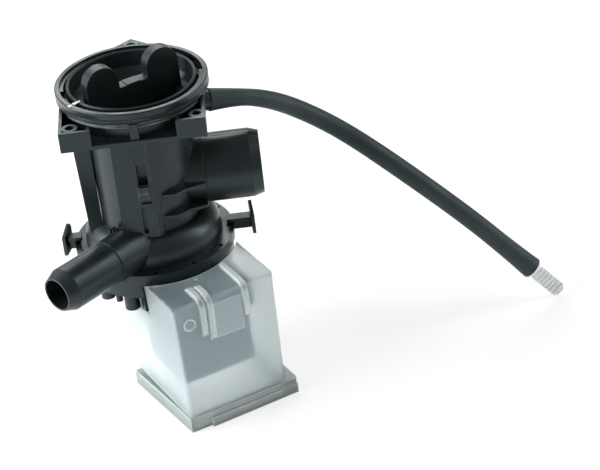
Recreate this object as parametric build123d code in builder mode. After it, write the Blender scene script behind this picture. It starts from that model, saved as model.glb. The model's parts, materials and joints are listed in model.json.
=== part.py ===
from build123d import *
import os
from math import atan, cos, degrees, pi, radians, sin, tan

os.makedirs("parts", exist_ok=True)

# Drain pump of a washing machine: filter housing, volute, motor and splash cover.
# Millimetres. Z runs up along the filter axis. Heights below are above the plane that the cover
# stands on, and each piece is saved with its origin on the filter axis at the foot of the collar.

# Heights along the filter axis
origin_z = 190.0
top_z = 196.5
collar_floor_z = 188.0
tray_top_z = 189.3
tray_low_z = 177.2
partition_top_z = 111.0
partition_low_z = 107.5
volute_flange_z = 91.0
volute_low_z = 85.3

# Radii about the filter axis
collar_radius = 44.7
collar_bore = 41.8
neck_radius = 41.0
neck_bore = 38.6
tube_top_radius = 31.3
tube_low_radius = 30.3
tube_bore = 28.3
eye_radius = 11.0
volute_flange_radius = 48.0

# Volute, which sits a little off the filter axis
volute_shift = -3.0
volute_radius = 41.0
chamber_radius = 34.5
recess_radius = 36.0

# Mounting tray with two front corners and a pointed ear at the back
tray_left = -42.6
tray_right = 40.9
tray_front = -45.7
tray_side_end = 30.5
ear_tip = (-0.75, 67.0)
tray_wall = 2.0
tray_floor = 2.2
screw_hole_radius = 2.6
screw_boss_radius = 4.7
front_hole_y = -39.2
front_hole_reach = 36.1
ear_hole_y = 59.0

# Inlet for the sump hose, along +X
inlet_z = 132.1
inlet_radius = 20.5
inlet_bore = 17.3
inlet_end_x = 69.0
inlet_root_x = 36.0
root_step = 0.5
relief_width = 0.4
relief_depth = 0.3
inlet_nose = 6.0
inlet_nose_radius = 18.6

# Outlet, level and tangent to the volute, towards the front left
outlet_z = 100.5
outlet_angle = 223.8
outlet_foot = (8.9, -9.3)
outlet_radius = 13.25
outlet_bore = 9.3
outlet_length = 90.0
outlet_root = 50.0
outlet_nose = 7.0
outlet_nose_radius = 10.3

# Motor, turned about the filter axis; local X runs across it and local -Y out over the coils
motor_turn = 26.0
motor_flange_radius = 46.5
can_radius = 15.0
can_bore = 13.6
can_low_z = 34.0
shaft_radius = 3.0
shaft_gap = 0.05
core_low_z = 48.0
core_height = 20.0
core_pole_radius = 22.5
leg_centre = 10.5
leg_width = 9.0

# Splash cover in the motor's own directions
cover_left_low = -25.8
cover_left_top = -28.5
cover_right = 38.8
cover_front = -76.0
cover_back = -8.0
foot_back = -10.0
cover_top_z = 85.0
cover_side_z = 64.0
cover_wall = 1.8
cover_arc = 49.6

# Drain hose
hose_radius = 5.8
hose_route = [
    (42.5, 7.5, 172.6),
    (59.4, 12.7, 169.9),
    (76.2, 20.3, 162.3),
    (93.7, 32.9, 147.3),
    (118.4, 36.5, 127.8),
    (147.1, 26.5, 106.0),
    (190.1, 16.7, 67.4),
    (228.6, 17.9, 23.0),
]
spigot_radius = 4.5
spigot_grip = 14.0
spigot_root = 23.0
plug_shank = 12.0


def level(z):
    return Plane.XY.offset(z)


def motor_level(z):
    turn = radians(motor_turn)
    return Plane(origin=(0, 0, z), x_dir=(cos(turn), sin(turn), 0), z_dir=(0, 0, 1))


def polar(radius, angle):
    return (radius * cos(radians(angle)), radius * sin(radians(angle)))


def ring_sector(inner_radius, outer_radius, middle, sweep):
    with BuildSketch() as band:
        with BuildLine():
            outer = CenterArc((0, 0), outer_radius, middle - sweep / 2, sweep)
            inner = CenterArc((0, 0), inner_radius, middle - sweep / 2, sweep)
            Line(outer @ 0, inner @ 0)
            Line(outer @ 1, inner @ 1)
        make_face()
    return band.sketch


def block(x0, x1, y0, y1):
    with BuildSketch() as face:
        with Locations(((x0 + x1) / 2, (y0 + y1) / 2)):
            Rectangle(x1 - x0, y1 - y0)
    return face.sketch


def save(part, name):
    placed = Pos(0, 0, -origin_z) * part
    placed.label = name
    export_step(placed, f"parts/{name}.step")


# Bayonet of the filter cap: two lugs, which drop through two gaps between the ramps of the collar
lug_angles = [20.0, 200.0]
lug_sweep = 24.0
lug_low_z = 188.6
lug_height = 2.4
ramp_low_z = 191.8
ramp_height = 3.2
ramp_sweep = 84.0
slot_sweep = 29.0

# Filter housing
tray_outline = [
    (tray_left, tray_front),
    (tray_right, tray_front),
    (tray_right, tray_side_end),
    ear_tip,
    (tray_left, tray_side_end),
]
screw_holes = [
    (-front_hole_reach, front_hole_y),
    (front_hole_reach, front_hole_y),
    (ear_tip[0], ear_hole_y),
]
outlet_way = polar(1, outlet_angle)
outlet_start = 8.0
outlet_taper = degrees(atan((outlet_radius - outlet_nose_radius) / outlet_nose))
inlet_taper = degrees(atan((inlet_radius - inlet_nose_radius) / inlet_nose))


def outlet_plane(distance):
    origin = (outlet_foot[0] + distance * outlet_way[0], outlet_foot[1] + distance * outlet_way[1], outlet_z)
    return Plane(origin=origin, x_dir=(-outlet_way[1], outlet_way[0], 0), z_dir=(*outlet_way, 0))


def spigot_plane(distance):
    start = Vector(*hose_route[0])
    way = (Vector(*hose_route[1]) - start).normalized()
    return Plane(origin=start + way * distance, x_dir=way.cross(Vector(0, 0, 1)), z_dir=way)


def across_x(x):
    return Plane(origin=(x, 0, 0), x_dir=(0, 1, 0), z_dir=(1, 0, 0))


with BuildPart() as filter_housing:
    # Tapered tube, neck and collar
    with BuildSketch(Plane.XZ):
        Polygon(
            (0, volute_flange_z),
            (tube_low_radius, volute_flange_z),
            (tube_top_radius, tray_low_z),
            (neck_radius, tray_low_z),
            (neck_radius, 185.4),
            (43.2, 186.4),
            (43.2, 187.4),
            (42.5, 187.8),
            (42.5, 189.2),
            (collar_radius, origin_z),
            (collar_radius, top_z - 0.5),
            (collar_radius - 0.5, top_z),
            (0, top_z),
            align=None,
        )
    revolve(axis=Axis.Z)
    # Domed volute with its lip, and the round flange below it
    with BuildSketch(Plane.XZ):
        with BuildLine():
            Polyline((0, 109.5), (0, volute_low_z + 1), (volute_radius, volute_low_z + 1), (volute_radius, 94.5))
            Spline((volute_radius, 94.5), (38.2, 104.0), (31.5, 108.8), tangents=[(0, 1), (-1, 0.25)])
            Line((31.5, 108.8), (0, 109.5))
        make_face()
    revolve(axis=Axis((0, 0, 0), (0, 0, 1)))
    with BuildSketch(level(volute_low_z)):
        Circle(volute_flange_radius)
    extrude(amount=volute_flange_z - volute_low_z)
    with BuildSketch(level(volute_flange_z)):
        with Locations((volute_shift, 0)):
            Circle(volute_radius + 0.6)
    extrude(amount=2.4)
    # Mounting tray: floor, side walls, front walls of the two corners, bosses
    with BuildSketch(level(tray_low_z)):
        Polygon(*tray_outline, align=None)
    extrude(amount=tray_floor)
    with BuildSketch(level(tray_low_z)):
        Polygon(*tray_outline, align=None)
        offset(amount=-tray_wall, kind=Kind.INTERSECTION, mode=Mode.SUBTRACT)
        with Locations((-0.9, tray_front)):
            Rectangle(49.4, 8, mode=Mode.SUBTRACT)
    extrude(amount=tray_top_z - tray_low_z)
    with BuildSketch(level(tray_low_z)):
        with Locations(*screw_holes):
            Circle(screw_boss_radius)
        for edge_x in (-26.6, 23.8):
            add(block(edge_x, edge_x + tray_wall, tray_front, -40.0))
        add(block(-2.4, 2.4, -44.6, -38.0))
    extrude(amount=tray_top_z - tray_low_z)
    # Inlet and outlet tubes with bevelled noses, each with a thicker root behind a fine relief groove
    with BuildSketch(across_x(0)):
        with Locations((0, inlet_z)):
            Circle(inlet_radius)
    extrude(amount=inlet_end_x - inlet_nose)
    with BuildSketch(across_x(0)):
        with Locations((0, inlet_z)):
            Circle(inlet_radius + root_step)
    extrude(amount=inlet_root_x)
    with BuildSketch(across_x(inlet_root_x - relief_width)):
        with Locations((0, inlet_z)):
            Circle(inlet_radius + 1.5)
            Circle(inlet_radius - relief_depth, mode=Mode.SUBTRACT)
    extrude(amount=relief_width, mode=Mode.SUBTRACT)
    with BuildSketch(across_x(inlet_end_x - inlet_nose)):
        with Locations((0, inlet_z)):
            Circle(inlet_radius)
    extrude(amount=inlet_nose, taper=inlet_taper)
    with BuildSketch(outlet_plane(outlet_start)):
        Circle(outlet_radius)
    extrude(amount=outlet_length - outlet_nose - outlet_start)
    with BuildSketch(outlet_plane(outlet_start)):
        Circle(outlet_radius + root_step)
    extrude(amount=outlet_root - outlet_start)
    with BuildSketch(outlet_plane(outlet_root - relief_width)):
        Circle(outlet_radius + 1.5)
        Circle(outlet_radius - relief_depth, mode=Mode.SUBTRACT)
    extrude(amount=relief_width, mode=Mode.SUBTRACT)
    with BuildSketch(outlet_plane(outlet_length - outlet_nose)):
        Circle(outlet_radius)
    extrude(amount=outlet_nose, taper=outlet_taper)
    # Flat panel on the front of the tube, with its catch hooks
    with BuildSketch(level(109.0)):
        add(block(-16.0, 7.6, -33.4, -20.0))
    extrude(amount=tray_low_z - 109.0)
    with BuildSketch(level(109.0)):
        add(block(-4.6, 5.8, -34.6, -20.0))
    extrude(amount=tray_low_z - 109.0)
    with BuildSketch(level(135.6)):
        add(block(-3.6, 2.6, -37.2, -30.0))
    extrude(amount=8.0)
    with BuildSketch(level(129.8)):
        add(block(-2.8, 3.2, -36.0, -30.0))
    extrude(amount=2.6)
    # Two webs in the corner between the tube and the inlet
    for web_z in (117.9, 132.1):
        with BuildSketch(level(web_z)):
            Polygon((10.0, -30.5), (17.0, -31.0), (24.0, -26.0), (35.0, -22.5), (35.0, -8.0), (10.0, -8.0), align=None)
        extrude(amount=1.8)
    # Strut beside the tube
    with BuildSketch(Plane.XZ.offset(10.5)):
        Polygon((-29.0, 103.0), (-36.6, 103.0), (-39.4, tray_low_z + 1), (-29.0, tray_low_z + 1), align=None)
    extrude(amount=2.6)
    # Hooked arms of the round flange, each with a plate that is turned a little outwards at its front
    for side, reach, turn, peak_z in ((1, 58.4, 5.0, 102.8), (-1, 51.6, -17.0, 101.6)):
        arm = sorted((side * 44.0, side * reach))
        with BuildSketch(level(volute_low_z + 1.0)):
            add(block(*arm, 2.0, 4.4))
        extrude(amount=9.6)
        with BuildSketch(level(volute_low_z + 8.6)):
            add(block(*arm, -2.6, 4.4))
        extrude(amount=2.0)
        along = (sin(radians(turn)), -cos(radians(turn)), 0)
        outward = (side * cos(radians(turn)), side * sin(radians(turn)), 0)
        with BuildSketch(Plane(origin=(side * reach, 1.5, 0), x_dir=along, z_dir=outward)):
            flip = -side
            Polygon(
                (-6.5, flip * 85.4), (6.0, flip * 85.4), (6.0, flip * 97.6), (-4.6, flip * peak_z),
                (-6.5, flip * (peak_z - 2.2)), align=None,
            )
        extrude(amount=2.0)
    # Spigot of the drain hose
    with BuildSketch(spigot_plane(-spigot_root)):
        Circle(6.2)
    extrude(amount=spigot_root)
    with BuildSketch(spigot_plane(0)):
        Circle(spigot_radius)
    extrude(amount=spigot_grip)
    # Bores: cap seat, filter chamber, eye, pump chamber and the seat of the motor flange
    with BuildSketch(Plane.XZ):
        Polygon(
            (0, top_z + 1),
            (collar_bore, top_z + 1),
            (collar_bore, collar_floor_z),
            (neck_bore, collar_floor_z),
            (neck_bore, tray_low_z + tray_floor),
            (tube_bore + 0.6, tray_low_z + tray_floor),
            (tube_bore, partition_top_z),
            (eye_radius, partition_top_z),
            (eye_radius, partition_low_z - 1),
            (0, partition_low_z - 1),
            align=None,
        )
    revolve(axis=Axis.Z, mode=Mode.SUBTRACT)
    with BuildSketch(Plane.XZ):
        Polygon(
            (0, volute_low_z - 1),
            (recess_radius, volute_low_z - 1),
            (recess_radius, 89.0),
            (chamber_radius, 89.0),
            (chamber_radius, 97.0),
            (31.5, 103.5),
            (26.5, partition_low_z),
            (0, partition_low_z),
            align=None,
        )
    revolve(axis=Axis.Z, mode=Mode.SUBTRACT)
    with BuildSketch(across_x(18.0)):
        with Locations((0, inlet_z)):
            Circle(inlet_bore)
    extrude(amount=inlet_end_x - 18.0, mode=Mode.SUBTRACT)
    with BuildSketch(outlet_plane(0)):
        Circle(outlet_bore)
    extrude(amount=outlet_length, mode=Mode.SUBTRACT)
    with BuildSketch(spigot_plane(-spigot_root - 1.0)):
        Circle(2.9)
    extrude(amount=spigot_root + 1.0 + spigot_grip, mode=Mode.SUBTRACT)
    # Screw holes, square windows of the round flange, window and groove of the panel
    with BuildSketch(level(tray_low_z)):
        with Locations(*screw_holes):
            Circle(screw_hole_radius)
    extrude(amount=tray_top_z - tray_low_z, mode=Mode.SUBTRACT)
    with BuildSketch(level(volute_low_z + 2.0)):
        for window in range(9):
            with Locations(polar(44.9, 60.0 - 30.0 * window)):
                Rectangle(2.6, 2.6, rotation=60.0 - 30.0 * window)
    extrude(amount=8.0, mode=Mode.SUBTRACT)
    with BuildSketch(level(144.0)):
        add(block(-2.9, 2.9, -36.0, -29.8))
    extrude(amount=13.4, mode=Mode.SUBTRACT)
    with BuildSketch(level(112.0)):
        add(block(-3.4, -1.0, -36.0, -31.6))
    extrude(amount=17.8, mode=Mode.SUBTRACT)
    with BuildSketch(Plane.XZ.offset(34.0)):
        Polygon((-2.9, 157.0), (1.9, 157.0), (5.2, 176.0), (-5.6, 176.0), align=None)
    extrude(amount=2.0, mode=Mode.SUBTRACT)
    # Ramps inside the collar, over the lugs of the cap
    with BuildSketch(level(ramp_low_z)):
        for angle in lug_angles:
            add(ring_sector(39.6, collar_bore + 0.4, angle - (slot_sweep + ramp_sweep) / 2, ramp_sweep))
    extrude(amount=ramp_height)
    # Hollows in the rim over the gaps
    with BuildSketch(level(ramp_low_z)):
        for angle in lug_angles:
            add(ring_sector(collar_bore - 1.0, collar_radius - 1.4, angle, slot_sweep))
    extrude(amount=ramp_height, mode=Mode.SUBTRACT)
save(filter_housing.part, "filter_housing")

# Filter cap: a bowl with a grip across it, turned with the fingers
cap_radius = 38.1
cap_wall = 1.9
bowl_low_z = 166.0
grip_turn = 27.6
grip_thickness = 7.4
lobe_radius = 10.2
lobe_centre = 19.5
lobe_z = top_z + 3.8
valley_z = top_z - 1.8
plate_length = 9.0


def grip_plane(distance):
    turn = radians(grip_turn)
    origin = (distance * sin(turn), -distance * cos(turn), 0)
    return Plane(origin=origin, x_dir=(cos(turn), sin(turn), 0), z_dir=(sin(turn), -cos(turn), 0))


with BuildPart() as filter_cap:
    with BuildSketch(Plane.XZ):
        Polygon(
            (0, bowl_low_z),
            (26.4, bowl_low_z),
            (27.6, 179.8),
            (cap_radius - 0.2, 179.8),
            (cap_radius - 0.2, 181.8),
            (35.6, 181.8),
            (35.6, 185.0),
            (cap_radius - 0.2, 185.0),
            (cap_radius, 188.0),
            (cap_radius, top_z - 0.4),
            (cap_radius - 0.8, top_z + 0.3),
            (cap_radius - cap_wall, top_z - 0.4),
            (35.2, 187.0),
            (33.4, 184.0),
            (28.2, 181.9),
            (25.6, 179.8),
            (24.6, bowl_low_z + 2.2),
            (0, bowl_low_z + 2.2),
            align=None,
        )
    revolve(axis=Axis.Z)
    # Grip with two finger lobes
    with BuildSketch(grip_plane(-grip_thickness / 2)):
        add(block(-24.2, 24.2, bowl_low_z + 1, 181.0))
        add(block(-lobe_centre - lobe_radius, lobe_centre + lobe_radius, 180.4, valley_z))
        for side in (-1, 1):
            add(block(side * lobe_centre - lobe_radius, side * lobe_centre + lobe_radius, 180.4, lobe_z))
            with Locations((side * lobe_centre, lobe_z)):
                Circle(lobe_radius)
    extrude(amount=grip_thickness)
    # Bare plate in the valley of the grip
    with BuildSketch(grip_plane(-grip_thickness / 2 + 0.2)):
        add(block(-plate_length / 2, plate_length / 2, valley_z - 0.6, valley_z + 0.5))
    extrude(amount=grip_thickness - 0.4)
    # Hollow of the grip, open below
    with BuildSketch(grip_plane(-grip_thickness / 2 + 1.8)):
        add(block(-22.0, 22.0, bowl_low_z - 1, valley_z - 2.2))
    extrude(amount=grip_thickness - 3.6, mode=Mode.SUBTRACT)
    # Bayonet lugs
    with BuildSketch(level(lug_low_z)):
        for angle in lug_angles:
            add(ring_sector(cap_radius - 1.0, collar_bore - 0.5, angle, lug_sweep))
    extrude(amount=lug_height)
    # Studs that hold the filter below the bowl
    with BuildSketch(level(bowl_low_z - 5.0)):
        with PolarLocations(18.0, 4, start_angle=45.0):
            Circle(2.0)
    extrude(amount=5.5)
save(filter_cap.part, "filter_cap")


def seal_ring(middle_radius, middle_z, section_radius):
    with BuildPart() as ring:
        with BuildSketch(Plane.XZ):
            with Locations((middle_radius, middle_z)):
                RegularPolygon(section_radius, 8)
        revolve(axis=Axis.Z)
    return ring.part


save(seal_ring(36.95, 183.4, 1.35), "cap_seal")

# Lint filter: a slotted basket with an open side towards the inlet
basket_radius = 26.4
basket_low_z = 114.0
basket_top_z = bowl_low_z
slot_count = 18
with BuildPart() as filter_basket:
    with BuildSketch(level(basket_low_z)):
        Circle(basket_radius)
    extrude(amount=basket_top_z - basket_low_z)
    with BuildSketch(level(basket_low_z + 2.0)):
        Circle(basket_radius - 2.0)
    extrude(amount=basket_top_z - basket_low_z - 4.0, mode=Mode.SUBTRACT)
    with BuildSketch(level(basket_low_z + 8.0)):
        for slot in range(slot_count):
            angle = 60.0 + slot * 240.0 / (slot_count - 1)
            with Locations(polar(basket_radius - 1.0, angle)):
                Rectangle(8.0, 3.2, rotation=angle)
    extrude(amount=36.0, mode=Mode.SUBTRACT)
    with BuildSketch(across_x(8.0)):
        with Locations((0, inlet_z)):
            Circle(inlet_bore - 1.0)
    extrude(amount=20.0, mode=Mode.SUBTRACT)
    with BuildSketch(level(basket_low_z)):
        Circle(9.0)
    extrude(amount=2.0, mode=Mode.SUBTRACT)
    with BuildSketch(level(basket_top_z - 5.0)):
        with PolarLocations(18.0, 4, start_angle=45.0):
            Circle(2.0)
    extrude(amount=5.0, mode=Mode.SUBTRACT)
save(filter_basket.part, "filter_basket")

# Motor flange: closes the pump chamber and carries the rotor can
seal_low_z = 86.0
seal_groove = 2.6
flange_top_z = 88.8
boss_places = [(-40.4, -12.4, 4.2, 69.0), (-36.0, -18.0, 2.0, 67.0), (-31.9, -27.0, 4.6, 65.4)]
with BuildPart() as motor_flange:
    with BuildSketch(level(81.3)):
        Circle(motor_flange_radius)
    extrude(amount=volute_low_z - 81.3)
    with BuildSketch(level(volute_low_z)):
        Circle(recess_radius - 0.1)
    extrude(amount=flange_top_z - volute_low_z)
    with BuildSketch(level(75.0)):
        Circle(motor_flange_radius)
        Circle(motor_flange_radius - 2.2, mode=Mode.SUBTRACT)
    extrude(amount=6.5)
    with BuildSketch(level(can_low_z)):
        Circle(can_radius)
    extrude(amount=82.0 - can_low_z)
    with BuildSketch(level(76.0)):
        with PolarLocations(0, 4, start_angle=motor_turn):
            Rectangle(2 * motor_flange_radius - 3, 2.0)
    extrude(amount=6.0)
    for side in (-1, 1):
        for place_x, place_y, radius, low_z in boss_places:
            with BuildSketch(motor_level(low_z)):
                with Locations((side * place_x, place_y)):
                    Circle(radius)
            extrude(amount=82.0 - low_z)
        with BuildSketch(motor_level(66.0)):
            add(block(*sorted((side * 28.6, side * 25.8)), -38.0, -33.0))
        extrude(amount=16.0)
    with BuildSketch(level(seal_low_z)):
        Circle(recess_radius + 1)
        Circle(33.5, mode=Mode.SUBTRACT)
    extrude(amount=seal_groove, mode=Mode.SUBTRACT)
    with BuildSketch(level(44.0)):
        Circle(can_bore)
    extrude(amount=50.0, mode=Mode.SUBTRACT)
    with BuildSketch(level(38.0)):
        Circle(5.5)
    extrude(amount=6.5, mode=Mode.SUBTRACT)
save(motor_flange.part, "motor_flange")

save(seal_ring(34.72, seal_low_z + seal_groove / 2, 1.2), "flange_seal")

# Bearing plate, which closes the rotor can
with BuildPart() as bearing_plate:
    with BuildSketch(level(74.0)):
        Circle(can_bore)
        Circle(5.5, mode=Mode.SUBTRACT)
    extrude(amount=flange_top_z - 74.0)
    with BuildSketch(level(78.0)):
        Circle(can_bore - 1.8)
        Circle(7.5, mode=Mode.SUBTRACT)
    extrude(amount=flange_top_z - 78.0, mode=Mode.SUBTRACT)
save(bearing_plate.part, "bearing_plate")

for bush_name, bush_low_z, bush_top_z in (("front_bearing", 74.0, flange_top_z), ("rear_bearing", 38.0, 44.0)):
    with BuildPart() as bush:
        with BuildSketch(level(bush_low_z)):
            Circle(5.5)
            Circle(shaft_radius + shaft_gap, mode=Mode.SUBTRACT)
        extrude(amount=bush_top_z - bush_low_z)
    save(bush.part, bush_name)

with BuildPart() as thrust_washer:
    with BuildSketch(level(73.0)):
        Circle(6.5)
        Circle(shaft_radius + shaft_gap, mode=Mode.SUBTRACT)
    extrude(amount=1.0)
save(thrust_washer.part, "thrust_washer")

# Rotor: shaft, magnet on its hub, and the dog that drives the impeller
magnet_radius = 12.6
magnet_low_z = 46.0
magnet_height = 25.5
hub_radius = 6.0
dog_low_z = 91.2
dog_height = 4.0
dog_sweep = 40.0
with BuildPart() as rotor_shaft:
    with BuildSketch(level(38.5)):
        Circle(shaft_radius)
    extrude(amount=98.0 - 38.5)
    chamfer(rotor_shaft.edges().filter_by(GeomType.CIRCLE), length=0.4)
save(rotor_shaft.part, "rotor_shaft")

with BuildPart() as rotor_hub:
    with BuildSketch(level(magnet_low_z)):
        Circle(hub_radius)
        Circle(shaft_radius, mode=Mode.SUBTRACT)
    extrude(amount=magnet_height)
save(rotor_hub.part, "rotor_hub")

with BuildPart() as rotor_magnet:
    with BuildSketch(level(magnet_low_z)):
        Circle(magnet_radius)
        Circle(hub_radius, mode=Mode.SUBTRACT)
    extrude(amount=magnet_height)
save(rotor_magnet.part, "rotor_magnet")

with BuildPart() as drive_dog:
    with BuildSketch(level(dog_low_z)):
        Circle(4.6)
        add(ring_sector(4.0, 7.4, 0.0, dog_sweep))
        Circle(shaft_radius, mode=Mode.SUBTRACT)
    extrude(amount=dog_height)
save(drive_dog.part, "drive_dog")

# Impeller with a hollow hub, in which the dog turns freely until it meets a stop
impeller_radius = 21.0
vane_count = 5
hub_cavity = 7.8
with BuildPart() as impeller:
    with BuildSketch(level(89.8)):
        Circle(impeller_radius)
    extrude(amount=1.6)
    with BuildSketch(level(89.8)):
        Circle(10.0)
    extrude(amount=9.0)
    with BuildSketch(level(98.8)):
        Circle(10.0)
    extrude(amount=2.6, taper=45.0)
    with BuildSketch(level(91.0)):
        with PolarLocations(0, vane_count):
            SlotArc(CenterArc((6.0, -16.0), 17.6, 44.0, 62.0), 1.8)
    extrude(amount=10.6)
    with BuildSketch(level(89.8)):
        Circle(hub_cavity)
    extrude(amount=6.4, mode=Mode.SUBTRACT)
    with BuildSketch(level(91.2)):
        add(ring_sector(4.8, hub_cavity + 0.5, 180.0, dog_sweep))
    extrude(amount=5.2)
    with BuildSketch(level(96.0)):
        Circle(shaft_radius + shaft_gap)
    extrude(amount=2.5, mode=Mode.SUBTRACT)
save(impeller.part, "impeller")

with BuildPart() as hub_cap:
    with BuildSketch(level(89.8)):
        Circle(hub_cavity)
        Circle(shaft_radius + shaft_gap, mode=Mode.SUBTRACT)
    extrude(amount=1.2)
save(hub_cap.part, "hub_cap")

# Stator: laminated core with two legs, bobbins, windings and their housing
yoke_back = -54.0
yoke_front = -66.0
leg_inner = leg_centre - leg_width / 2
leg_outer = leg_centre + leg_width / 2
with BuildPart() as stator_core:
    with BuildSketch(motor_level(core_low_z)):
        Circle(core_pole_radius)
        for side in (-1, 1):
            add(block(*sorted((side * leg_inner, side * leg_outer)), yoke_front, -10.0))
        add(block(-leg_outer, leg_outer, yoke_front, yoke_back))
        add(block(-3.6, 3.6, -24.0, 24.0), mode=Mode.SUBTRACT)
        Circle(can_radius + 0.1, mode=Mode.SUBTRACT)
    extrude(amount=core_height)
save(stator_core.part, "stator_core")

coil_half = 23.0
coil_back = -27.0
coil_front = -70.0
coil_low_z = 30.0
coil_top_z = 80.5
coil_step_z = 74.0
coil_step_v = -49.0
coil_wall = 1.6
core_mid_z = core_low_z + core_height / 2
with BuildPart() as coil_housing:
    with BuildSketch(motor_level(coil_low_z)):
        add(block(-coil_half, coil_half, coil_front, coil_back))
        fillet(vertices(), radius=2.5)
    extrude(amount=coil_step_z - coil_low_z)
    with BuildSketch(motor_level(coil_step_z)):
        add(block(-coil_half, coil_half, coil_front, coil_step_v))
        fillet(vertices(), radius=2.5)
    extrude(amount=coil_top_z - coil_step_z)
    with BuildSketch(motor_level(coil_low_z + coil_wall)):
        add(block(-coil_half + coil_wall, coil_half - coil_wall, coil_front + coil_wall, coil_back - coil_wall))
    extrude(amount=coil_step_z - coil_low_z - 2 * coil_wall, mode=Mode.SUBTRACT)
    with BuildSketch(motor_level(core_low_z)):
        for side in (-1, 1):
            add(block(*sorted((side * leg_inner, side * leg_outer)), coil_back - 5, coil_back + 1))
    extrude(amount=core_height, mode=Mode.SUBTRACT)
save(coil_housing.part, "coil_housing")


def around_leg(side, width, height):
    with BuildSketch() as frame:
        with Locations((side * leg_centre, core_mid_z)):
            Rectangle(width, height)
    return frame.sketch


def leg_plane(v):
    turn = radians(motor_turn)
    out = (sin(turn), -cos(turn), 0)
    origin = (v * -out[0], v * -out[1], 0)
    return Plane(origin=origin, x_dir=(cos(turn), sin(turn), 0), z_dir=out)


bobbin_back = -30.0
bobbin_length = 22.0
bobbin_flange = 1.2
tube_width = leg_width + 2.4
tube_height = core_height + 2.4
for side, side_name in ((-1, "left"), (1, "right")):
    with BuildPart() as bobbin:
        with BuildSketch(leg_plane(bobbin_back)):
            add(around_leg(side, tube_width, tube_height))
        extrude(amount=bobbin_length)
        for flange_v in (bobbin_back, bobbin_back - bobbin_length + bobbin_flange):
            with BuildSketch(leg_plane(flange_v)):
                add(around_leg(side, 20.4, 28.2))
            extrude(amount=bobbin_flange)
        with BuildSketch(leg_plane(bobbin_back)):
            add(around_leg(side, leg_width, core_height))
        extrude(amount=bobbin_length, mode=Mode.SUBTRACT)
    save(bobbin.part, f"bobbin_{side_name}")

    with BuildPart() as winding:
        with BuildSketch(leg_plane(bobbin_back - bobbin_flange)):
            add(around_leg(side, 19.4, 27.2))
            fillet(vertices(), radius=2.0)
            add(around_leg(side, tube_width, tube_height), mode=Mode.SUBTRACT)
        extrude(amount=bobbin_length - 2 * bobbin_flange)
    save(winding.part, f"winding_{side_name}")

# Terminal block beside the coils, its two blades, and the earth blade on the core
with BuildPart() as terminal_block:
    with BuildSketch(motor_level(64.0)):
        add(block(coil_half, coil_half + 5.0, -67.0, -44.0))
    extrude(amount=16.0)
    with BuildSketch(motor_level(66.0)):
        add(block(coil_half + 2.0, coil_half + 5.0, -65.0, -46.0))
    extrude(amount=12.0, mode=Mode.SUBTRACT)
save(terminal_block.part, "terminal_block")

with BuildPart() as terminal_blades:
    with BuildSketch(motor_level(68.8)):
        for blade_v in (-60.5, -50.5):
            add(block(coil_half + 2.0, coil_half + 11.0, blade_v - 0.4, blade_v + 0.4))
    extrude(amount=6.3)
save(terminal_blades.part, "terminal_blades")

with BuildPart() as earth_blade:
    with BuildSketch(motor_level(core_low_z + core_height)):
        add(block(7.0, 13.3, -25.2, -24.4))
    extrude(amount=7.5)
save(earth_blade.part, "earth_blade")

# Splash cover over the coils: walls, roof cut round the pump, foot, guide rails and tab
rail_width = 3.2
rail_height = 2.2
cover_rounding = 3.0


def cover_profile(inset, low_z):
    with BuildSketch() as profile:
        Polygon(
            (cover_left_low + inset, low_z),
            (cover_right - inset, low_z),
            (cover_right - inset, cover_top_z - inset),
            (cover_left_top + inset, cover_top_z - inset),
            align=None,
        )
    return profile.sketch


def side_plane(u):
    turn = radians(motor_turn)
    across = (cos(turn), sin(turn), 0)
    return Plane(origin=(u * across[0], u * across[1], 0), x_dir=(-sin(turn), cos(turn), 0), z_dir=across)


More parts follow.
